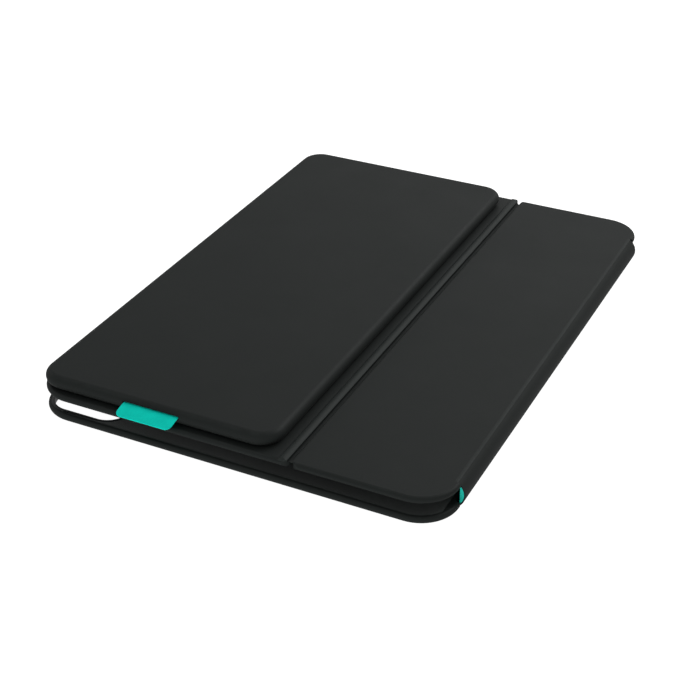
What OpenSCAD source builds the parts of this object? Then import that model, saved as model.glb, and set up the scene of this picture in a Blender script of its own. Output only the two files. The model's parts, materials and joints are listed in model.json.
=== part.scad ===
// Folding tablet case with a slim keyboard stowed on its front cover.
// X runs across the short side with the spine at +X, Y along the long side, Z up.
// The origin is the middle of the back panel's flat underside.

/* [Tablet] */
// Width of the tablet the case is made for
tablet_w = 178.5; // [170:0.5:190]
// Length of the tablet
tablet_l = 247.6; // [240:0.2:262]
// Thickness of the tablet
tablet_t = 5.9; // [5:0.1:8]

/* [Case] */
// Thickness of the back panel
back_t = 3.1; // [2.6:0.1:4]
// Thickness of the front cover
cover_t = 2.9; // [2.6:0.1:4]
// How far the panels stand out past the tablet's long sides
side_margin = 0.75; // [0.5:0.05:2]
// How far the panels stand out past the tablet's short sides
end_margin = 1; // [0.5:0.1:2]
// Corner radius of the panels
corner_r = 16; // [10:1:20]
// Thickness of the outer skin
skin_t = 0.5; // [0.3:0.1:0.8]
// Thickness of the soft lining
lining_t = 0.6; // [0.4:0.1:0.8]

/* [Fold and spine] */
// Where the fold between the cover's panels lies, from the middle of the case
fold_x = 27.4; // [24:0.2:34]
// Gap between the cover's two panels at the fold
fold_gap = 0.6; // [0.4:0.1:1]
// Width of the raised band beside the fold
band_w = 3.4; // [3:0.2:5]
// How far the spine bulges out past the panels' edge
spine_bulge = 1.75; // [1:0.05:2.5]
// How far in from the panels' edge the creases of the spine lie
crease_inset = 1.85; // [1.5:0.05:2.5]
// Length of the spine
spine_l = 215.6; // [200:0.2:216]

/* [Keyboard] */
// Width of the keyboard, from the space bar's side to the function keys' side
kb_w = 108.2; // [106:0.2:110]
// Length of the keyboard
kb_l = 244.6; // [242:0.2:246]
// Thickness of the keyboard
kb_t = 6; // [5.9:0.1:6.5]
// Corner radius of the keyboard
kb_corner_r = 10; // [8:1:14]
// Gap between the keyboard's side and the case's free edge
kb_inset = 1.3; // [0.5:0.1:3]
// Spacing of the keys along the keyboard
key_unit = 16.2; // [15.5:0.1:16.3]
// Spacing of the rows of keys
row_pitch = 17.2; // [16:0.1:17.4]
// Depth of the function key row
function_depth = 10.2; // [9:0.1:10.4]
// Gap between neighbouring keys
key_gap = 2.6; // [2.2:0.1:3]
// How far a key can be pressed
key_travel = 1; // [0.8:0.1:1]

/* [Pull tab] */
// Width of the pull tab
tab_w = 25; // [18:0.5:30]
// How far the pull tab stands out of the keyboard
tab_reach = 6.8; // [5:0.2:12]

/* [Hidden] */
$fn = 64;

// Panels and levels of the case
half_w = tablet_w / 2 + side_margin;
half_l = tablet_l / 2 + end_margin;
bay_t = tablet_t + 0.1;
cover_z = back_t + bay_t;
top_z = cover_z + cover_t;
rim_w = 1.6;
fit = 0.1;
crease_x = half_w - crease_inset;
crease_gap = 0.3;
fold_corner_r = 4;
fold_edge_r = 0.9;
wide_x1 = fold_x - fold_gap / 2;
narrow_x0 = fold_x + fold_gap / 2;
panel_cut_x = crease_x - crease_gap / 2;
spine_cut_l = spine_l + 2 * crease_gap;

// Camera window, over the tablet's camera
window_w = 34;
window_r = 9;
window_x = -tablet_w / 2 + 20;
window_y = -tablet_l / 2 + 20;
frame_w = 1.5;

// Spine: an arc through both creases, out to the bulge
spine_half_h = top_z / 2 - 0.1;
spine_out = spine_bulge + crease_inset;
spine_r = (spine_half_h * spine_half_h + spine_out * spine_out) / (2 * spine_out);
spine_cx = half_w + spine_bulge - spine_r;
spine_cz = top_z / 2;
spine_inner_x = tablet_w / 2 + 0.1;

// Magnets
magnet_t = 1.2;
magnet_rows = [-90, -30, 30, 90];

// Keyboard outline and levels; it lies keys-down on the cover
kb_x0 = -half_w + kb_inset;
kb_x1 = kb_x0 + kb_w;
kb_half = kb_l / 2;
kb_mid_x = (kb_x0 + kb_x1) / 2;
kb_z = top_z;
kb_r = kb_t / 2;
shell_wall = 2.2;
roof_t = 0.7;
part_z = kb_z + 2.4;
part_gap = 0.05;
well_rim = 4.2;
well_z = kb_z + 1;
web_t = 0.7;
cap_z = kb_z + 0.3;
cap_t = 1.5;
cap_roof = 0.8;
cap_wall = 1;
dome_z = kb_z + 2.2;
plate_z = kb_z + 2.9;
plate_t = 0.3;
sheet_t = 0.2;
sheet_z = plate_z + plate_t;
board_z = sheet_z + sheet_t;
board_t = 0.8;
cavity_top = kb_z + kb_t - roof_t;

// Battery tray in the keyboard's far end, and its two coin cells
cell_d = 20;
cell_t = 1.6;
tray_w = 46;
tray_d = 24;
tray_x = kb_mid_x;
tray_z = board_z + 0.05;
tray_floor = 0.1;
tray_t = cavity_top - tray_z - 0.05;

// Power switch in the keyboard's free side
switch_y = 70;
switch_l = 4;
switch_travel = 3.5;
switch_z = kb_z + 3;
switch_h = 1;

// Pull tab: leaves the keyboard at tab_z and droops
tab_z = kb_z + 3.5;
tab_t = 0.5;
tab_angle = 12;
tab_root = 0.4;
tab_r = 2;

// Keys: rows from the function keys at +X to the space bar at -X, each key's width in units
function ones(n) = [for (i = [1:n]) 1];
key_rows = [
    concat([1.5], ones(13)),
    concat(ones(13), [1.5]),
    concat([1.5], ones(13)),
    concat([1.75], ones(11), [1.75]),
    concat([2.25], ones(10), [2.25]),
    [1, 1, 1, 1.25, 5, 1.25, 1, 1, 1, 1]
];
keys_w = function_depth + 5 * row_pitch;
keys_l = 14.5 * key_unit;
keys_x1 = kb_mid_x + keys_w / 2;
bottom_row = 5;
up_down = 8;

function sum_to(list, n) = n == 0 ? 0 : list[n - 1] + sum_to(list, n - 1);
function row_x1(row) = row == 0 ? keys_x1 : keys_x1 - function_depth - (row - 1) * row_pitch;
function row_x0(row) = row == 0 ? keys_x1 - function_depth : row_x1(row) - row_pitch;
function key_y0(row, i) = -keys_l / 2 + sum_to(key_rows[row], i) * key_unit;
function key_y1(row, i) = key_y0(row, i + 1);
// Every cell of the key field as [x0, x1, y0, y1]; the up and down keys share one cell
function cell(row, i) = [row_x0(row), row_x1(row), key_y0(row, i), key_y1(row, i)];
function half_cell(row, i, upper) = [
    upper ? (row_x0(row) + row_x1(row)) / 2 : row_x0(row),
    upper ? row_x1(row) : (row_x0(row) + row_x1(row)) / 2,
    key_y0(row, i),
    key_y1(row, i)
];
function is_up_down(row, i) = row == bottom_row && i == up_down;
all_cells = concat(
    [for (row = [0:5], i = [0:len(key_rows[row]) - 1]) if (!is_up_down(row, i)) cell(row, i)],
    [for (upper = [false, true]) half_cell(bottom_row, up_down, upper)]
);

// Radius of the rubber dome under a cell's key
function dome_r(c) = min(2, (c[1] - c[0]) / 2 - 3.2);

skin_colour = [0.17, 0.18, 0.18];
lining_colour = [0.3, 0.31, 0.32];
teal = [0.03, 0.8, 0.72];
board_colour = [0.75, 0.73, 0.66];
steel = [0.7, 0.71, 0.73];
keycap_colour = [0.14, 0.15, 0.15];

// ---- shared shapes ----

// Rounded rectangle between two corners
module rounded_rect(x0, x1, y0, y1, r) {
    translate([x0 + r, y0]) square([x1 - x0 - 2 * r, y1 - y0]);
    translate([x0, y0 + r]) square([x1 - x0, y1 - y0 - 2 * r]);
    for (x = [x0 + r, x1 - r], y = [y0 + r, y1 - r])
        translate([x, y]) circle(r);
}

// Half disc, flat side on the Y axis, bulging towards +X
module half_disc(r) {
    intersection() {
        circle(r);
        translate([0, -r]) square([r, 2 * r]);
    }
}

// Flat plate with a full-round edge all round, its underside at z
module round_edged_plate(x0, x1, half, z, t, r) {
    e = t / 2;
    xm = (x0 + x1) / 2;
    translate([xm, 0, z + e]) {
        translate([0, 0, -e]) linear_extrude(t)
            rounded_rect(x0 + e - xm, x1 - e - xm, -half + e, half - e, r - e);
        for (side = [0, 1]) mirror([side, 0, 0]) {
            translate([x1 - xm - e, half - r, 0]) rotate([90, 0, 0])
                linear_extrude(2 * (half - r)) half_disc(e);
            for (end = [0, 1]) mirror([0, end, 0])
                translate([x1 - xm - r, half - r, 0])
                    rotate_extrude(angle = 90) translate([r - e, 0]) half_disc(e);
        }
        for (end = [0, 1]) mirror([0, end, 0])
            translate([x1 - xm - r, half - e, 0]) rotate([90, 0, -90]) mirror([1, 0, 0])
                linear_extrude(x1 - x0 - 2 * r) half_disc(e);
    }
}

// Prism over a rounded rectangle that is symmetric about the long centre line
module slab(x0, x1, half, z, t, r) {
    translate([0, 0, z]) linear_extrude(t) rounded_rect(x0, x1, -half, half, r);
}

// Box between two corners
module block(x0, x1, y0, y1, z0, z1) {
    translate([x0, y0, z0]) cube([x1 - x0, y1 - y0, z1 - z0]);
}

// Room for the spine at the panels' spine edge
module spine_recess(z0, z1) {
    block(panel_cut_x, half_w + 1, -spine_cut_l / 2, spine_cut_l / 2, z0, z1);
}

// Everything of the cover on one side of the fold, with small rounded corners at the fold
module wide_side() {
    slab(-half_w - 20, wide_x1, half_l + 0.01, cover_z - 1, cover_t + 2, fold_corner_r);
}

module narrow_side() {
    slab(narrow_x0, half_w + 20, half_l + 0.01, cover_z - 1, cover_t + 2, fold_corner_r);
}

module cover_plate() {
    round_edged_plate(-half_w, half_w, half_l, cover_z, cover_t, corner_r);
}

// Hollow inside a panel's skin from x0 to x1, less a clearance, inside the case's rounded outline
module core(x0, x1, z0, z1, clear) {
    i = rim_w + clear;
    intersection() {
        slab(-half_w + i, half_w - i, half_l - i, z0, z1 - z0, corner_r - i);
        slab(x0 + clear, x1 - clear, half_l - i, z0, z1 - z0, fold_corner_r);
    }
}

module back_core(z0, z1, clear) {
    core(-half_w - 20, panel_cut_x - rim_w, z0, z1, clear);
}

module narrow_core(z0, z1, clear) {
    core(narrow_x0 + rim_w, panel_cut_x - rim_w, z0, z1, clear);
}

module wide_core(z0, z1, clear) {
    core(-half_w - 20, wide_x1 - rim_w, z0, z1, clear);
}

module window_prism(w, r, z0, z1) {
    translate([window_x, window_y, z0]) linear_extrude(z1 - z0)
        rounded_rect(-w / 2, w / 2, -w / 2, w / 2, r);
}

// Bar magnets at given places, grown by a clearance to cut their pockets
module bars(places, w, l, z0, z1, clear) {
    for (p = places)
        block(p[0] - w / 2 - clear, p[0] + w / 2 + clear,
            p[1] - l / 2 - clear, p[1] + l / 2 + clear, z0, z1);
}

// ---- back panel ----

back_bars = [for (x = [-52, 0, 52], y = [-70, 0, 70]) [x, y]];
back_board_z1 = back_t - lining_t;

module back_skin() {
    color(skin_colour) difference() {
        round_edged_plate(-half_w, half_w, half_l, 0, back_t, corner_r);
        back_core(skin_t, back_t + 1, 0);
        spine_recess(-1, back_t + 1);
        window_prism(window_w + 2 * frame_w + fit, window_r + frame_w, -1, back_t + 1);
    }
}

module back_board() {
    color(board_colour) difference() {
        back_core(skin_t, back_board_z1, fit);
        window_prism(window_w + 2 * frame_w + 4 * fit, window_r + frame_w, -1, back_t);
        bars(back_bars, 8, 30, skin_t + 0.3, back_t, fit);
    }
}

module back_lining() {
    color(lining_colour) difference() {
        back_core(back_board_z1, back_t, fit);
        window_prism(window_w + 2 * frame_w + fit, window_r + frame_w, 0, back_t + 1);
    }
}

module back_magnets() {
    color(steel) bars(back_bars, 8, 30, skin_t + 0.4, skin_t + 0.4 + magnet_t, 0);
}

module camera_frame() {
    color(skin_colour) difference() {
        window_prism(window_w + 2 * frame_w, window_r + frame_w, 0.1, back_t - 0.1);
        window_prism(window_w, window_r, -1, back_t + 1);
    }
}

// ---- spine ----

// Cross-section between the tablet's side and a circle about the spine's centre
module spine_segment(r, x0) {
    intersection() {
        translate([spine_cx, spine_cz]) circle(r, $fn = 96);
        translate([x0, 0.1]) square([spine_r * 2, top_z - 0.2]);
    }
}

// Stands a cross-section drawn in X and Z along the length of the spine
module along_spine(length) {
    translate([0, length / 2, 0]) rotate([90, 0, 0]) linear_extrude(length) children();
}

module spine_skin() {
    color(skin_colour) along_spine(spine_l) difference() {
        spine_segment(spine_r, crease_x + crease_gap / 2);
        translate([spine_cx, spine_cz]) circle(spine_r - skin_t, $fn = 96);
    }
}

stiffener_x = spine_inner_x + 0.5;
stiffener_t = 0.6;
stiffener_h = 5;

module spine_filling() {
    color(teal) difference() {
        along_spine(spine_l - 0.4) spine_segment(spine_r - skin_t, spine_inner_x);
        block(stiffener_x - 0.02, stiffener_x + stiffener_t + 0.02, -spine_l / 2 + 3.9,
            spine_l / 2 - 3.9, spine_cz - stiffener_h / 2 - 0.02, spine_cz + stiffener_h / 2 + 0.02);
    }
}

module spine_stiffener() {
    color(board_colour)
        block(stiffener_x, stiffener_x + stiffener_t, -spine_l / 2 + 4, spine_l / 2 - 4,
            spine_cz - stiffener_h / 2, spine_cz + stiffener_h / 2);
}

// ---- front cover: narrow panel ----

cover_board_z0 = cover_z + lining_t;
cover_board_z1 = top_z - skin_t;
narrow_bars = [for (y = [-75, -25, 25, 75]) [fold_x + 12, y]];

// What is cut away to round the narrow panel's upper edge at the fold
module fold_edge_rounding() {
    r = fold_edge_r;
    translate([narrow_x0, half_l + 1, top_z - r]) rotate([90, 0, 0]) linear_extrude(2 * half_l + 2)
        difference() {
            translate([-1, 0]) square([1 + r, r + 1]);
            translate([r, 0]) circle(r, $fn = 48);
        }
}

module narrow_skin() {
    color(skin_colour) difference() {
        intersection() {
            cover_plate();
            narrow_side();
        }
        fold_edge_rounding();
        narrow_core(cover_z - 1, cover_board_z1, 0);
        spine_recess(cover_z - 1, top_z + 1);
    }
}

module narrow_board() {
    color(board_colour) difference() {
        narrow_core(cover_board_z0, cover_board_z1, fit);
        bars(narrow_bars, 6, 24, cover_z, cover_board_z0 + magnet_t + fit, fit);
    }
}

module narrow_lining() {
    color(lining_colour) narrow_core(cover_z, cover_board_z0, fit);
}

module narrow_magnets() {
    color(steel) bars(narrow_bars, 6, 24, cover_board_z0 + 0.02, cover_board_z0 + magnet_t, 0);
}

// ---- front cover: wide panel ----

channel_w = rim_w - skin_t;
channel_depth = 1.3;
band_x1 = wide_x1 - channel_w;
band_x0 = band_x1 - band_w;
band_rise = 0.5;
band_dip = 0.12;
dock_bars = [for (x = [kb_x0 + 4, kb_x1 - 4], y = magnet_rows) [x, y]];
wake_place = [[-half_w + 8, 0]];

module wide_skin() {
    color(skin_colour) difference() {
        intersection() {
            cover_plate();
            wide_side();
        }
        wide_core(cover_z - 1, cover_board_z1, 0);
        block(band_x0, band_x1 + 0.1, -half_l - 1, half_l + 1, cover_board_z1, top_z + 1);
        block(band_x1, wide_x1 + 1, -half_l - 1, half_l + 1, top_z - channel_depth, top_z + 1);
    }
}

module wide_board() {
    color(board_colour) difference() {
        wide_core(cover_board_z0, cover_board_z1, fit);
        bars(dock_bars, 5, 30, cover_z, cover_board_z0 + magnet_t + fit, fit);
        bars(wake_place, 4, 12, cover_z, cover_board_z0 + magnet_t + fit, fit);
    }
}

module wide_lining() {
    color(lining_colour) wide_core(cover_z, cover_board_z0, fit);
}

module dock_magnets() {
    color(steel) bars(dock_bars, 5, 30, cover_board_z0 + 0.02, cover_board_z0 + magnet_t, 0);
}

module wake_magnet() {
    color(steel) bars(wake_place, 4, 12, cover_board_z0 + 0.02, cover_board_z0 + magnet_t, 0);
}

// Band beside the channel: its arched top starts below the skin and follows the round ends of the cover
module fold_strip() {
    arch = band_rise + band_dip;
    arch_r = (band_w * band_w / 4 + arch * arch) / (2 * arch);
    color(skin_colour) intersection() {
        translate([0, half_l, 0]) rotate([90, 0, 0]) linear_extrude(2 * half_l)
            intersection() {
                translate([band_x0 + band_w / 2, top_z + band_rise - arch_r])
                    circle(arch_r, $fn = 128);
                translate([band_x0, cover_board_z1]) square([band_w, 2]);
            }
        round_edged_plate(-half_w, half_w, half_l, cover_z, cover_t + band_rise, corner_r);
        wide_side();
    }
}

// ---- keyboard ----

module keyboard_body() {
    round_edged_plate(kb_x0, kb_x1, kb_half, kb_z, kb_t, kb_corner_r);
}

module keyboard_cavity(z0, z1) {
    slab(kb_x0 + shell_wall, kb_x1 - shell_wall, kb_half - shell_wall, z0, z1 - z0,
        kb_corner_r - shell_wall);
}

module tray_slot(clear) {
    block(tray_x - tray_w / 2 - clear, tray_x + tray_w / 2 + clear,
        kb_half - tray_d - clear, kb_half + 1, tray_z - clear, tray_z + tray_t + clear / 2);
}

module keyboard_shell() {
    color(skin_colour) difference() {
        keyboard_body();
        block(kb_x0 - 1, kb_x1 + 1, -kb_half - 1, kb_half + 1, kb_z - 1, part_z);
        keyboard_cavity(kb_z, cavity_top);
        tray_slot(fit);
        block(kb_x0 - 1, kb_x0 + 4, switch_y - fit, switch_y + switch_l + switch_travel + fit,
            switch_z - fit, switch_z + switch_h + fit);
        block(kb_mid_x - tab_w / 2 - 0.3, kb_mid_x + tab_w / 2 + 0.3, -kb_half - 1,
            -kb_half + shell_wall + 1, tab_z - 0.6, tab_z + 0.75);
    }
}

// Room for every key, grown past each cap by a clearance
module key_holes(z0, z1) {
    clear = 0.35;
    for (c = all_cells)
        translate([0, 0, z0]) linear_extrude(z1 - z0)
            rounded_rect(c[0] + key_gap / 2 - clear, c[1] - key_gap / 2 + clear,
                c[2] + key_gap / 2 - clear, c[3] - key_gap / 2 + clear, 1.6);
}

light_x = keys_x1 + 0.8;
light_y = -keys_l / 2 + 12;

module key_deck() {
    color(keycap_colour) difference() {
        keyboard_body();
        block(kb_x0 - 1, kb_x1 + 1, -kb_half - 1, kb_half + 1, part_z - part_gap, kb_z + kb_t + 1);
        slab(kb_x0 + well_rim, kb_x1 - well_rim, kb_half - well_rim, kb_z - 1, 1 + well_z - kb_z,
            kb_corner_r - well_rim);
        keyboard_cavity(well_z + web_t, kb_z + kb_t);
        key_holes(kb_z, part_z + 1);
        translate([light_x, light_y, kb_z - 1]) cylinder(h = 3, r = 0.6 + fit);
    }
}

module support_plate() {
    color(steel) difference() {
        translate([0, 0, plate_z]) linear_extrude(plate_t)
            rounded_rect(kb_x0 + shell_wall + 0.3, kb_x1 - shell_wall - 0.3,
                -kb_half + shell_wall + 1.5, kb_half - shell_wall - 0.3, kb_corner_r - shell_wall);
        for (c = all_cells)
            translate([(c[0] + c[1]) / 2, (c[2] + c[3]) / 2, plate_z - 1])
                cylinder(h = 3, r = dome_r(c) + 0.3);
    }
}

// One square link frame round each dome, standing on the support plate
module scissor_links() {
    link_z = plate_z - 0.7;
    color("white") for (c = all_cells) {
        w = min(8.4, c[1] - c[0] - key_gap - 2 * cap_wall - 0.6);
        translate([(c[0] + c[1]) / 2, (c[2] + c[3]) / 2, link_z]) linear_extrude(0.7)
            difference() {
                square([w, 9.4], center = true);
                square([w - 0.9, 7.6], center = true);
            }
    }
}

module dome_sheet() {
    color("lightgrey") union() {
        translate([0, 0, sheet_z]) linear_extrude(sheet_t)
            rounded_rect(keys_x1 - keys_w, keys_x1, -keys_l / 2, keys_l / 2, 3);
        for (c = all_cells)
            translate([(c[0] + c[1]) / 2, (c[2] + c[3]) / 2, dome_z])
                cylinder(h = sheet_z - dome_z + sheet_t / 2, r = dome_r(c));
    }
}

// Long board under the function keys, with a strip across to the battery tray
module circuit_board() {
    strip_y0 = kb_half - tray_d - 10;
    strip_y1 = kb_half - tray_d - 0.8;
    color("darkgreen") union() {
        block(keys_x1 - 16, keys_x1, -90, strip_y1, board_z, board_z + board_t);
        block(tray_x - 16, keys_x1 - 15, strip_y0, strip_y1, board_z, board_z + board_t);
        block(keys_x1 - 12, keys_x1 - 5, -20, -13, board_z + board_t / 2, board_z + board_t + 0.6);
    }
}

// On the ledge inside the deck's rim, close to the cover
module keyboard_magnets() {
    ledge_z = well_z + web_t;
    ledge_w = well_rim - shell_wall - 0.2;
    color(steel) for (x = [kb_x0 + shell_wall + 0.1, kb_x1 - well_rim + 0.1], y = magnet_rows)
        block(x, x + ledge_w, y - 15, y + 15, ledge_z, plate_z - 0.05);
}

module battery_contacts() {
    color("gold") for (side = [-1, 1])
        translate([tray_x + side * (cell_d / 2 + 1), 0, 0])
            block(-2, 2, kb_half - tray_d - 4, kb_half - tray_d - 0.2, board_z + board_t,
                board_z + board_t + 0.5);
}

module status_light() {
    color("white") translate([light_x, light_y, well_z]) cylinder(h = web_t + 0.6, r = 0.6);
}

// Teal ribbon, hinged just inside the keyboard's end and drooping past it
module pull_tab() {
    length = (tab_root + tab_reach) / cos(tab_angle);
    color(teal) translate([kb_mid_x, -kb_half + tab_root, tab_z]) rotate([tab_angle, 0, 0])
        translate([0, 0, -tab_t / 2]) linear_extrude(tab_t) union() {
            translate([-tab_w / 2, -length + tab_r]) square([tab_w, length - tab_r]);
            translate([-tab_w / 2 + tab_r, -length]) square([tab_w - 2 * tab_r, length]);
            for (side = [-1, 1])
                translate([side * (tab_w / 2 - tab_r), -length + tab_r]) circle(tab_r);
        }
}

module power_switch() {
    color(steel) union() {
        block(kb_x0 - 0.3, kb_x0 + shell_wall, switch_y, switch_y + switch_l,
            switch_z, switch_z + switch_h);
        for (i = [0:3])
            block(kb_x0 - 0.5, kb_x0 + 0.5, switch_y + 0.4 + i, switch_y + 0.8 + i,
                switch_z, switch_z + switch_h);
    }
}

module cell_places() {
    for (side = [-1, 1])
        translate([tray_x + side * (cell_d / 2 + 1), kb_half - tray_d + 1 + cell_d / 2, 0])
            children();
}

module battery_tray() {
    color(keycap_colour) difference() {
        intersection() {
            tray_slot(0);
            keyboard_body();
        }
        cell_places() translate([0, 0, tray_z + tray_floor]) cylinder(h = 5, r = cell_d / 2 + fit);
    }
}

module coin_cells() {
    color(steel) cell_places()
        translate([0, 0, tray_z + tray_floor]) cylinder(h = cell_t, r = cell_d / 2);
}

// ---- keys ----

// One hollow key cap over a cell, its face towards the cover
module key_cap(c) {
    x0 = c[0] + key_gap / 2;
    x1 = c[1] - key_gap / 2;
    y0 = c[2] + key_gap / 2;
    y1 = c[3] - key_gap / 2;
    color(keycap_colour) difference() {
        translate([0, 0, cap_z]) linear_extrude(cap_t) rounded_rect(x0, x1, y0, y1, 1.3);
        block(x0 + cap_wall, x1 - cap_wall, y0 + cap_wall, y1 - cap_wall, cap_z + cap_roof, cap_z + 3);
    }
}

// The keys of one row, from the first number to the last
module keys(row, first, last) {
    for (i = [first:last]) key_cap(cell(row, i));
}

module escape_key() { keys(0, 0, 0); }
module function_keys() { keys(0, 1, 13); }
module number_keys() { keys(1, 0, 12); }
module delete_key() { keys(1, 13, 13); }
module tab_key() { keys(2, 0, 0); }
module upper_letter_keys() { keys(2, 1, 13); }
module caps_lock_key() { keys(3, 0, 0); }
module home_letter_keys() { keys(3, 1, 11); }
module return_key() { keys(3, 12, 12); }
module left_shift_key() { keys(4, 0, 0); }
module lower_letter_keys() { keys(4, 1, 10); }
module right_shift_key() { keys(4, 11, 11); }
module command_keys() { for (i = [3, 5]) keys(bottom_row, i, i); }
module space_key() { keys(bottom_row, 4, 4); }

module modifier_keys() {
    keys(bottom_row, 0, 2);
    keys(bottom_row, 6, 6);
}

module arrow_keys() {
    for (i = [7, 9]) keys(bottom_row, i, i);
    for (upper = [false, true]) key_cap(half_cell(bottom_row, up_down, upper));
}

back_skin();
back_board();
back_lining();
back_magnets();
camera_frame();
spine_skin();
spine_filling();
spine_stiffener();
narrow_skin();
narrow_board();
narrow_lining();
narrow_magnets();
wide_skin();
wide_board();
wide_lining();
dock_magnets();
wake_magnet();
fold_strip();
keyboard_shell();
key_deck();
support_plate();
scissor_links();
dome_sheet();
circuit_board();
keyboard_magnets();
battery_contacts();
status_light();
pull_tab();
power_switch();
battery_tray();
coin_cells();
escape_key();
function_keys();
number_keys();
delete_key();
tab_key();
upper_letter_keys();
caps_lock_key();
home_letter_keys();
return_key();
left_shift_key();
lower_letter_keys();
right_shift_key();
modifier_keys();
command_keys();
space_key();
arrow_keys();
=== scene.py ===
"""Looks of a folding tablet case with its keyboard stowed on the cover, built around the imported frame."""

import json
import math

import bmesh
import bpy
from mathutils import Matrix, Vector

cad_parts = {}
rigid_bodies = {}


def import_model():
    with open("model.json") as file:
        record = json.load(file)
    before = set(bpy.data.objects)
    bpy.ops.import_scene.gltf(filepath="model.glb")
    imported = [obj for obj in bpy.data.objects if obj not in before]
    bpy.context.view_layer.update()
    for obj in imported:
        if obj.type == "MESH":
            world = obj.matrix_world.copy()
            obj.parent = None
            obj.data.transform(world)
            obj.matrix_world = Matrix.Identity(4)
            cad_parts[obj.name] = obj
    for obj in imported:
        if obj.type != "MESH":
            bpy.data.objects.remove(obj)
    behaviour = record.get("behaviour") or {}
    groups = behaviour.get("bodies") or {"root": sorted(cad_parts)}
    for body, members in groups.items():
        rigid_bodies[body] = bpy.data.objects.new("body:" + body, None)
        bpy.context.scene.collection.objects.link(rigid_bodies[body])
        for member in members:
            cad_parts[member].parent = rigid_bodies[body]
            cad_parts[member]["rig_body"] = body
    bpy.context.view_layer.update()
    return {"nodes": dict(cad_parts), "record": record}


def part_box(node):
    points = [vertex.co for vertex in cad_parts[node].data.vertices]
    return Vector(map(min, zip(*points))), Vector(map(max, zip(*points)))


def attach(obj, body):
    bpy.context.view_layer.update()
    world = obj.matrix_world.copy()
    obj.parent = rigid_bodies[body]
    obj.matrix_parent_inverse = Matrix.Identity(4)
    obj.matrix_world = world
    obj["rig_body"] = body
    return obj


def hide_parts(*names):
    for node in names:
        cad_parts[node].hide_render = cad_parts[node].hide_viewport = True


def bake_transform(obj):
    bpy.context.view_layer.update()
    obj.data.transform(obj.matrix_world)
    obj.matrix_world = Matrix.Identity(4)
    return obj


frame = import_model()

SLOTS = {part["node"]: part["material_slot"] for part in frame["record"]["subparts"]}
MM = 0.001

# ---- node helpers ----


def new_material(name, **settings):
    """A Principled material with its shader's own sockets set, and the tree and shader to build on."""
    material = bpy.data.materials.new(name)
    material.use_nodes = True
    tree = material.node_tree
    shader = tree.nodes["Principled BSDF"]
    for socket, value in settings.items():
        shader.inputs[socket.replace("_", " ")].default_value = value
    return material, tree, shader


def put(tree, kind, values=(), **properties):
    """Adds a node, sets its properties, and links or sets each of its inputs by name or number."""
    node = tree.nodes.new(kind)
    for name, value in properties.items():
        setattr(node, name, value)
    for socket, value in dict(values).items():
        if isinstance(value, bpy.types.NodeSocket):
            tree.links.new(value, node.inputs[socket])
        else:
            node.inputs[socket].default_value = value
    return node


def place(tree, stretch=(1, 1, 1)):
    """Position on the piece in metres, stretched along its axes."""
    where = put(tree, "ShaderNodeTexCoord").outputs["Object"]
    return put(tree, "ShaderNodeMapping", {"Vector": where, "Scale": stretch}).outputs["Vector"]


def noise(tree, size, detail=2.0, stretch=(1, 1, 1)):
    """Cloudy noise with patches of about the given size in metres."""
    values = {"Vector": place(tree, stretch), "Scale": 1 / size, "Detail": detail}
    return put(tree, "ShaderNodeTexNoise", values).outputs["Fac"]


def cells(tree, size):
    """Rounded cells of about the given size in metres, dark at their middles."""
    values = {"Vector": place(tree), "Scale": 1 / size, "Smoothness": 0.35}
    return put(tree, "ShaderNodeTexVoronoi", values, feature="SMOOTH_F1").outputs["Distance"]


def remap(tree, value, low, high, to_low, to_high):
    """Turns the range low to high into to_low to to_high, and stops at its ends."""
    values = {"Value": value, "From Min": low, "From Max": high, "To Min": to_low, "To Max": to_high}
    return put(tree, "ShaderNodeMapRange", values).outputs["Result"]


def combine(tree, operation, a, b):
    """One sum, product or other operation on two numbers or sockets."""
    return put(tree, "ShaderNodeMath", {0: a, 1: b}, operation=operation).outputs[0]


def mix(tree, factor, a, b):
    """Blends two colours, each a socket or three numbers."""
    a, b = (c if isinstance(c, bpy.types.NodeSocket) else (*c, 1) for c in (a, b))
    node = put(tree, "ShaderNodeMix", {0: factor, 6: a, 7: b}, data_type="RGBA")
    return node.outputs[2]


def shoulders(tree):
    """1 where the piece's flat faces turn over into its sides, 0 on the flats and the sides."""
    normal = put(tree, "ShaderNodeTexCoord").outputs["Normal"]
    height = put(tree, "ShaderNodeSeparateXYZ", {0: normal}).outputs["Z"]
    height = combine(tree, "ABSOLUTE", height, 0.0)
    above_side = remap(tree, height, 0.62, 0.84, 0.0, 1.0)
    below_flat = remap(tree, height, 0.9, 0.985, 1.0, 0.0)
    return combine(tree, "MULTIPLY", above_side, below_flat)


def finish_surface(tree, shader, colour, roughness, height, depth):
    """Gives the shader its colour and roughness, and a bump of the given depth in metres."""
    tree.links.new(colour, shader.inputs["Base Color"])
    tree.links.new(roughness, shader.inputs["Roughness"])
    bump = put(tree, "ShaderNodeBump", {"Height": height, "Strength": 0.6, "Distance": depth})
    tree.links.new(bump.outputs["Normal"], shader.inputs["Normal"])


# ---- materials ----


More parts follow.
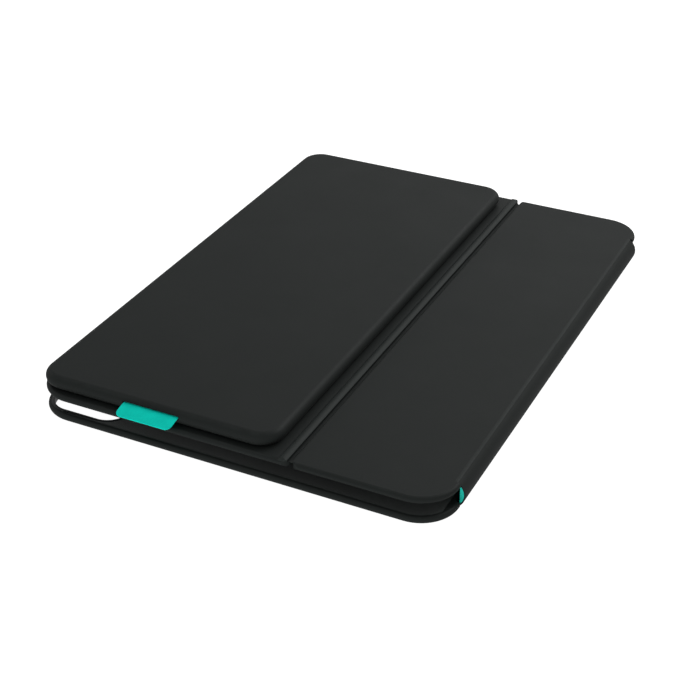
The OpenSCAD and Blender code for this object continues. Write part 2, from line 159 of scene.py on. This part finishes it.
def soft_touch(name, dark, light, worn_and_lit):
    """Rubbery coated skin: fine pebbled grain, faint cloudiness, and shoulders made paler, partly as rubbed
    wear and partly as a painted highlight.
    """
    grain = 0.5 * MM
    material, tree, shader = new_material(name, Specular_IOR_Level=0.13)
    cloud = remap(tree, noise(tree, 60 * MM, 4), 0.35, 0.65, 0.0, 1.0)
    speck = remap(tree, noise(tree, 0.35 * MM, 2), 0.3, 0.7, -0.5, 0.5)
    tone = combine(tree, "ADD", cloud, combine(tree, "MULTIPLY", speck, 0.35))
    patches = remap(tree, noise(tree, 9 * MM, 5), 0.42, 0.68, 0.15, 1.0)
    # Shoulders lightened where the flat faces turn over: partly rubbed wear, partly a painted highlight
    # along the top edges.
    wear_and_highlight = combine(tree, "MULTIPLY", shoulders(tree), patches)
    colour = mix(tree, wear_and_highlight, mix(tree, tone, dark, light), worn_and_lit)
    pebbles = combine(tree, "ADD", cells(tree, grain), noise(tree, grain / 3, 3))
    roughness = remap(tree, noise(tree, 25 * MM, 4), 0.3, 0.7, 0.55, 0.59)
    finish_surface(tree, shader, colour, roughness, pebbles, 0.02 * MM)
    return material


def plain(name, a, b, patch, rough, bump_size, depth, stretch=(1, 1, 1), **settings):
    """Two close tones in patches, a range of roughness, and a bump that can run along one axis."""
    material, tree, shader = new_material(name, **settings)
    tone = remap(tree, noise(tree, patch, 4, stretch), 0.3, 0.7, 0.0, 1.0)
    roughness = remap(tree, noise(tree, patch * 2, 3, stretch), 0.3, 0.7, *rough)
    height = noise(tree, bump_size, 3, stretch)
    finish_surface(tree, shader, mix(tree, tone, a, b), roughness, height, depth)
    return material


def microfibre(name, dark, light):
    """Brushed lining cloth with a soft nap that lies in drifts."""
    material, tree, shader = new_material(name, Specular_IOR_Level=0.15, Sheen_Weight=0.35)
    drift = remap(tree, noise(tree, 18 * MM, 5, (1, 0.5, 1)), 0.35, 0.65, 0.0, 1.0)
    fibre = noise(tree, 0.3 * MM, 4, (1, 0.35, 1))
    drift_part = combine(tree, "MULTIPLY", drift, 0.25)
    fibre_part = combine(tree, "MULTIPLY", fibre, 0.75)
    tone = combine(tree, "ADD", drift_part, fibre_part)
    roughness = remap(tree, fibre, 0.3, 0.7, 0.8, 0.98)
    finish_surface(tree, shader, mix(tree, tone, dark, light), roughness, fibre, 0.12 * MM)
    return material


def woven(name, dark, light):
    """Close plain weave of two crossing sets of threads, with a silky sheen."""
    material, tree, shader = new_material(name, Specular_IOR_Level=0.06)
    thread = 0.28 * MM
    # A wave texture's bands repeat every pi / (10 * scale), which is here every two threads.
    bands = 0.05 / thread * math.pi
    waves = []
    for direction in ("X", "Y"):
        values = {"Vector": place(tree), "Scale": bands, "Distortion": 0.4, "Detail": 1.0}
        waves.append(put(tree, "ShaderNodeTexWave", values, bands_direction=direction).outputs["Fac"])
    weave = combine(tree, "MAXIMUM", *waves)
    stain = remap(tree, noise(tree, 5 * MM, 3), 0.3, 0.7, 0.0, 0.35)
    tone = combine(tree, "SUBTRACT", remap(tree, weave, 0.1, 0.9, 0.25, 1.0), stain)
    roughness = remap(tree, weave, 0.0, 1.0, 0.75, 0.6)
    finish_surface(tree, shader, mix(tree, tone, dark, light), roughness, weave, 0.03 * MM)
    return material


def circuit(name):
    """Green solder mask with copper tracks showing through it as paler lines."""
    material, tree, shader = new_material(name, Coat_Weight=0.3)
    values = {"Vector": place(tree, (1, 0.25, 1)), "Scale": 1 / (2.2 * MM), "Randomness": 0.6}
    lines = put(tree, "ShaderNodeTexVoronoi", values, distance="MANHATTAN", feature="DISTANCE_TO_EDGE")
    track = remap(tree, lines.outputs["Distance"], 0.05, 0.12, 1.0, 0.0)
    colour = mix(tree, track, (0.005, 0.06, 0.02), (0.02, 0.15, 0.05))
    roughness = remap(tree, noise(tree, 4 * MM, 3), 0.3, 0.7, 0.3, 0.45)
    finish_surface(tree, shader, colour, roughness, track, 0.03 * MM)
    return material


def grey(value):
    """Near-neutral grey with the faint green of the case's finish."""
    return (value * 0.85, value, value * 0.95)


def make_materials():
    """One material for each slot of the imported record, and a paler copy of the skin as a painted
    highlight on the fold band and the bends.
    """
    metal = {"Metallic": 1.0}
    return {
        "skin": soft_touch("skin", grey(0.0168), grey(0.0174), grey(0.0225)),
        "keyboard_skin": soft_touch("keyboard_skin", grey(0.0164), grey(0.017), grey(0.0225)),
        # Paler copy of the skin: a painted highlight for the fold band and the two creases.
        "painted_highlight_skin": soft_touch("painted_highlight_skin", grey(0.025), grey(0.028), grey(0.03)),
        "frame_trim": plain("frame_trim", grey(0.012), grey(0.016), 4 * MM, (0.35, 0.5),
                            0.2 * MM, 0.01 * MM),
        "lining": microfibre("lining", grey(0.02), grey(0.045)),
        "board": plain("board", (0.32, 0.29, 0.22), (0.45, 0.42, 0.34), 3 * MM, (0.75, 0.95),
                       0.4 * MM, 0.06 * MM, (1, 0.2, 1)),
        "magnet": plain("magnet", (0.5, 0.5, 0.51), (0.62, 0.62, 0.62), 2 * MM, (0.2, 0.38),
                        0.15 * MM, 0.004 * MM, (1, 0.1, 1), **metal),
        "teal_foam": plain("teal_foam", (0.004, 0.42, 0.33), (0.012, 0.56, 0.45), 1.5 * MM, (0.75, 0.9),
                           0.3 * MM, 0.08 * MM),
        "teal_fabric": woven("teal_fabric", (0.001, 0.58, 0.47), (0.002, 0.78, 0.63)),
        "deck": plain("deck", grey(0.011), grey(0.014), 12 * MM, (0.5, 0.65), 0.25 * MM, 0.015 * MM),
        "keycap": plain("keycap", grey(0.009), grey(0.012), 6 * MM, (0.38, 0.55), 0.18 * MM, 0.01 * MM),
        "plate": plain("plate", (0.45, 0.46, 0.47), (0.56, 0.57, 0.58), 6 * MM, (0.3, 0.5),
                       0.2 * MM, 0.008 * MM, (0.1, 1, 1), **metal),
        "link": plain("link", (0.55, 0.55, 0.53), (0.66, 0.66, 0.64), 2 * MM, (0.4, 0.6),
                      0.3 * MM, 0.01 * MM),
        "dome": plain("dome", (0.4, 0.41, 0.42), (0.5, 0.51, 0.52), 2 * MM, (0.35, 0.55),
                      0.3 * MM, 0.01 * MM, Subsurface_Weight=0.2),
        "circuit": circuit("circuit"),
        "contact": plain("contact", (0.75, 0.5, 0.16), (0.88, 0.64, 0.26), 1 * MM, (0.2, 0.35),
                         0.1 * MM, 0.004 * MM, (1, 0.2, 1), **metal),
        "light": plain("light", (0.7, 0.72, 0.72), (0.8, 0.82, 0.82), 0.6 * MM, (0.2, 0.35),
                       0.1 * MM, 0.004 * MM, Subsurface_Weight=0.3),
        "switch": plain("switch", grey(0.03), grey(0.05), 1 * MM, (0.35, 0.5), 0.1 * MM, 0.01 * MM),
        "cell": plain("cell", (0.6, 0.6, 0.6), (0.72, 0.72, 0.71), 3 * MM, (0.18, 0.32),
                      0.12 * MM, 0.004 * MM, (1, 0.1, 1), **metal),
    }


def dress_frame(materials):
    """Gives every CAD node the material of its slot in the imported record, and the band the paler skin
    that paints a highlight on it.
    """
    for node, slot in SLOTS.items():
        mesh = frame["nodes"][node].data
        mesh.materials.clear()
        mesh.materials.append(materials[slot])
    # The fold band gets the paler skin, a painted highlight.
    frame["nodes"]["fold_strip"].data.materials[0] = materials["painted_highlight_skin"]


# ---- meshes ----


def new_object(name, material, shells, closed=False):
    """A smooth mesh of one or more shells, each of them rows of points joined row to row."""
    form = bmesh.new()
    for rows in shells:
        rings = [[form.verts.new(point) for point in row] for row in rows]
        for before, after in zip(rings, rings[1:]):
            count = len(before)
            for c in range(count if closed else count - 1):
                d = (c + 1) % count
                form.faces.new((before[c], before[d], after[d], after[c]))
        if closed:
            form.faces.new(rings[0][::-1])
            form.faces.new(rings[-1])
    bmesh.ops.recalc_face_normals(form, faces=form.faces)
    return finished(name, material, form)


def finished(name, material, form):
    """Turns a bmesh into an object, smooth but for its sharp edges."""
    mesh = bpy.data.meshes.new(name)
    form.to_mesh(mesh)
    form.free()
    mesh.materials.append(material)
    mesh.shade_smooth()
    mesh.set_sharp_from_angle(angle=math.radians(50))
    piece = bpy.data.objects.new(name, mesh)
    bpy.context.scene.collection.objects.link(piece)
    return piece


def thickened(profile, thickness):
    """Closed outline in X and Z: the profile's points, and back along them a thickness lower."""
    lower = []
    for i, (x, z) in enumerate(profile):
        before = profile[max(i - 1, 0)]
        after = profile[min(i + 1, len(profile) - 1)]
        along = Vector((after[0] - before[0], after[1] - before[1])).normalized()
        lower.append((x + along.y * thickness, z - along.x * thickness))
    return profile + lower[::-1]


def strip(name, material, profile, thickness, y0, y1):
    """A thin skin with the given cross-section, running from y0 to y1."""
    outline = thickened(profile, thickness)
    steps = 120
    rows = []
    for i in range(steps + 1):
        y = y0 + (y1 - y0) * i / steps
        rows.append([(x, y, z) for x, z in outline])
    return new_object(name, material, [rows], closed=True)


def hump(x0, x1, z0, z1, rise):
    """A gentle arch from (x0, z0) to (x1, z1), as points in X and Z."""
    steps = 12
    points = []
    for i in range(steps + 1):
        t = i / steps
        points.append((x0 + (x1 - x0) * t, z0 + (z1 - z0) * t + rise * math.sin(math.pi * t)))
    return points


def merged(node):
    """A bmesh of a CAD node with its doubled corners joined."""
    form = bmesh.new()
    form.from_mesh(frame["nodes"][node].data)
    bmesh.ops.remove_doubles(form, verts=form.verts, dist=0.002 * MM)
    return form


def stands_for(piece, node):
    """The piece takes the CAD node's place and body."""
    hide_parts(node)
    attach(piece, frame["nodes"][node]["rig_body"])
    return piece


def softened(name, node, width):
    """The shape of a CAD node with each of its sharp edges rounded to the given width."""
    flat, corner = math.radians(0.5), math.radians(35)
    form = merged(node)
    bmesh.ops.dissolve_limit(form, angle_limit=flat, verts=form.verts, edges=form.edges)
    sharp = [e for e in form.edges if len(e.link_faces) == 2 and e.calc_face_angle() > corner]
    bmesh.ops.bevel(form, geom=sharp, offset=width, segments=3, profile=0.5, affect="EDGES")
    return stands_for(finished(name, frame["nodes"][node].data.materials[0], form), node)


def solid_boxes(node):
    """Lowest and highest corners of each separate solid of a CAD node."""
    form = merged(node)
    left = set(form.verts)
    boxes = []
    while left:
        border = [left.pop()]
        points = []
        while border:
            vert = border.pop()
            points.append(tuple(vert.co))
            for edge in vert.link_edges:
                other = edge.other_vert(vert)
                if other in left:
                    left.remove(other)
                    border.append(other)
        axes = list(zip(*points))
        boxes.append((tuple(map(min, axes)), tuple(map(max, axes))))
    form.free()
    return sorted(boxes)


def ring(low, high, inset, z, corner):
    """Points of a rounded rectangle inside a box's outline, at height z."""
    smallest_radius = 0.05 * MM
    radius = max(corner - inset, smallest_radius)
    steps = 6
    points = []
    for quarter in range(4):
        right = quarter in (0, 3)
        far = quarter in (0, 1)
        x = high[0] - inset - radius if right else low[0] + inset + radius
        y = high[1] - inset - radius if far else low[1] + inset + radius
        for i in range(steps + 1):
            turn = math.radians(90 * (quarter + i / steps))
            points.append((x + radius * math.cos(turn), y + radius * math.sin(turn), z))
    return points


def cap_rows(low, high):
    """A key cap lying face down: hollow behind, round-edged, its face dished."""
    corner = 1.3 * MM
    wall = 1 * MM
    roof = 0.8 * MM
    edge = 0.3 * MM
    edge_steps = 4
    dish = 0.15 * MM
    dish_steps = 6
    flat_half = 0.15 * MM
    face, back = low[2], high[2]
    rows = [ring(low, high, wall, z, corner) for z in (face + roof, back)]
    rows.append(ring(low, high, 0, back, corner))
    for i in range(edge_steps + 1):
        turn = math.radians(90 * i / edge_steps)
        inset = edge * (1 - math.cos(turn))
        rows.append(ring(low, high, inset, face + edge * (1 - math.sin(turn)), corner))
    middle = min(high[0] - low[0], high[1] - low[1]) / 2 - flat_half
    for i in range(1, dish_steps + 1):
        inward = i / dish_steps
        inset = edge + (middle - edge) * inward
        rows.append(ring(low, high, inset, face + dish * (1 - (1 - inward) ** 2), corner))
    return rows


def make_linings():
    """The three panels' brushed linings, rounded at their edges."""
    for panel in ("back", "narrow", "wide"):
        node = panel + "_lining"
        cloth = softened(node + "_cloth", node, 0.25 * MM)


def make_filling():
    """The spine's foam, rounded at its edges."""
    softened("spine_foam", "spine_filling", 0.3 * MM)


def make_keys(plastic):
    """One piece of key caps for each CAD node of keys."""
    nodes = [node for node, slot in SLOTS.items() if slot == "keycap"]
    for node in nodes:
        shells = [cap_rows(low, high) for low, high in solid_boxes(node)]
        stands_for(new_object(node + "_caps", plastic, shells, closed=True), node)


def make_mouldings():
    """Trims and small moulded parts with their edges broken."""
    for node in ("camera_frame", "battery_tray", "power_switch", "spine_stiffener"):
        softened(node + "_moulding", node, 0.12 * MM)


def make_creases(skin):
    """The skin's two bends, between each panel and the spine. The lower one stays clear of the floor."""
    thickness = 0.25 * MM
    past_end = 0.45 * MM
    over_panel = 0.75 * MM
    over_spine = 0.45 * MM
    into_spine = 0.03 * MM
    proud = 0.02 * MM
    arch = 0.05 * MM
    floor_gap = 0.01 * MM
    spine_low, spine_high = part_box("spine_skin")
    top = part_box("narrow_skin")[1].z
    edge = spine_low.x
    y0, y1 = spine_low.y - past_end, spine_high.y + past_end
    x0, x1 = edge - over_panel, edge + over_spine
    drop = top - spine_high.z + into_spine
    upper = hump(x0, x1, top + proud, top - drop + proud, arch)
    lower = hump(x1, x0, drop + floor_gap, floor_gap, 0)
    for name, profile, z, panel in (
        ("cover_crease", upper, top, "narrow_panel"),
        ("back_crease", lower, 0, "back_panel"),
    ):
        piece = strip(name, skin, profile, thickness, y0, y1)
        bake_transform(piece)


def make_fold(skin):
    """The thin skin at the bottom of the groove between the cover's two panels."""
    thickness = 0.2 * MM
    depth = 1.25 * MM
    sag = 0.3 * MM
    into_panel = 0.25 * MM
    end_inset = 2.4 * MM
    low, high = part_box("narrow_skin")
    x0, x1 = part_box("wide_skin")[1].x, low.x
    z = high.z - depth
    profile = hump(x0 - into_panel, x1 + into_panel, z, z, -sag)
    web = strip("fold_web", skin, profile, thickness, low.y + end_inset, high.y - end_inset)
    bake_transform(web)


def fullness(distance):
    """How far the tab has filled out at a distance in from its edge: from 0, in a round, up to 1."""
    edge_radius = 0.3 * MM
    inward = min(1.0, distance / edge_radius)
    return math.sqrt(max(0.0, 1 - (1 - inward) ** 2))


def tab_row(middle, half_width, y, z, half_thickness, plump):
    """A ring of points around the tab at one place: across its top, and back across its underside."""
    steps = 36
    crowding = 1.6
    edge_share = 0.25
    top, under = [], []
    for j in range(steps + 1):
        u = -1 + 2 * j / steps
        across = math.copysign(1 - (1 - abs(u)) ** crowding, u)
        full = fullness((1 - abs(across)) * half_width) * plump
        body = half_thickness * (edge_share + (1 - edge_share) * full)
        x = middle + across * half_width
        top.append((x, y, z + body))
        under.append((x, y, z - body))
    return top + under[::-1]


def make_pull_tab(cloth):
    """Ribbed woven tab, held inside the keyboard's end and drooping out of its slot."""
    thickness = 0.5 * MM
    hidden = 4.4 * MM
    corner = 2.6 * MM
    rib = 0.5 * MM
    rib_height = 0.022 * MM
    droop = 1.35
    low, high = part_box("pull_tab")
    width = high.x - low.x
    middle = (low.x + high.x) / 2
    root, root_z = high.y, high.z - thickness / 2
    reach = root - low.y
    drop = high.z - low.z - thickness
    length = hidden + reach
    steps = 170
    rows = []
    for i in range(steps + 1):
        along = length * i / steps
        out = along - hidden
        fall = max(0.0, out / reach) ** droop
        past = max(0.0, along - (length - corner))
        half_width = width / 2 - (corner - math.sqrt(max(0.0, corner ** 2 - past ** 2)))
        half_thickness = thickness / 2 + rib_height * math.cos(2 * math.pi * along / rib)
        plump = fullness(length - along)
        rows.append(tab_row(middle, half_width, root - out, root_z - drop * fall, half_thickness, plump))
    tab = new_object("pull_tab_cloth", cloth, [rows], closed=True)
    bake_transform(tab)
    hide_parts("pull_tab")


# ---- surroundings ----


def glowing(name, glow):
    """Matt paint that shines white by itself, for the studio's own surfaces."""
    paint = 0.35
    material, tree, shader = new_material(name, Specular_IOR_Level=0.0, Roughness=0.9)
    colour = mix(tree, noise(tree, 0.8, 2), (paint, paint, paint), (paint * 1.03,) * 3)
    tree.links.new(colour, shader.inputs["Base Color"])
    shader.inputs["Emission Color"].default_value = (1, 1, 1, 1)
    shader.inputs["Emission Strength"].default_value = glow
    return material


def studio_surface(name, outline, glow):
    """A glowing surface turned about the upright axis. It neither lights the case nor shows in it."""
    floor_drop = 0.05 * MM
    steps = 48
    rows = []
    for i in range(steps + 1):
        turn = 2 * math.pi * i / steps
        rows.append([(r * math.cos(turn), r * math.sin(turn), z) for r, z in outline])
    surface = new_object(name, glowing(name, glow), [rows])
    surface.location.z = -floor_drop
    surface.visible_diffuse = False
    surface.visible_glossy = False
    surface.visible_shadow = False


def make_studio():
    """Pale floor, with a pinhole at its middle, and a pale dome over it."""
    radius = 6
    hole = 1 * MM
    angles = [math.radians(degrees) for degrees in range(0, 91, 6)]
    dome = [(radius * math.cos(angle), radius * math.sin(angle)) for angle in angles]
    studio_surface("floor", [(hole, 0), (radius, 0)], 0.97)
    studio_surface("dome", dome, 1.0)


def add_softbox(name, azimuth, elevation, size, power, mirrored=True):
    """A large soft light aimed at the case, with its size in metres and its power in watts.

    Azimuth 0 is beyond the case's far end, and 90 is beyond its spine. Unless the light is mirrored, it
    doesn't show in reflections.
    """
    distance = 1.8
    turn, tilt = math.radians(azimuth), math.radians(elevation)
    toward = Vector((math.sin(turn) * math.cos(tilt), math.cos(turn) * math.cos(tilt), math.sin(tilt)))
    light = bpy.data.lights.new(name, "AREA")
    light.shape = "RECTANGLE"
    light.size, light.size_y = size
    light.energy = power
    lamp = bpy.data.objects.new(name, light)
    lamp.location = toward * distance
    lamp.rotation_euler = (-toward).to_track_quat("-Z", "Y").to_euler()
    lamp.visible_glossy = mirrored
    bpy.context.scene.collection.objects.link(lamp)


def make_world():
    """Dim white surroundings, and colours shown as they are."""
    world = bpy.data.worlds.new("studio")
    world.use_nodes = True
    background = world.node_tree.nodes["Background"]
    background.inputs["Color"].default_value = (1, 1, 1, 1)
    background.inputs["Strength"].default_value = 0.5
    bpy.context.scene.world = world
    bpy.context.scene.view_settings.view_transform = "Standard"


def make_lights():
    """Soft boxes above the case, and a low one that stands for the light a pale floor throws back."""
    add_softbox("main_box", 30, 45, (1.2, 0.8), 12)
    add_softbox("back_box", -5, 32, (1.2, 0.7), 2.6)
    add_softbox("left_box", -90, 35, (1.2, 0.8), 1)
    add_softbox("bounce_box", 180, -20, (1.2, 0.4), 15, mirrored=False)


def make_camera():
    """Long lens looking down on the case's near end from its spine side."""
    elevation, azimuth = 31.063, 26.122
    camera = bpy.data.cameras.new("camera")
    camera.lens = 79.72
    camera.sensor_width = 36
    view = bpy.data.objects.new("camera", camera)
    view.location = (0.246, -0.527, 0.3409)
    view.rotation_euler = (math.radians(90 - elevation), 0, math.radians(azimuth))
    bpy.context.scene.collection.objects.link(view)
    bpy.context.scene.camera = view


palette = make_materials()
dress_frame(palette)
# The creases get the paler skin, a painted highlight.
make_creases(palette["painted_highlight_skin"])
make_fold(palette["skin"])
make_pull_tab(palette["teal_fabric"])
make_linings()
make_filling()
make_keys(palette["keycap"])
make_mouldings()
make_studio()
make_world()
make_lights()
make_camera()
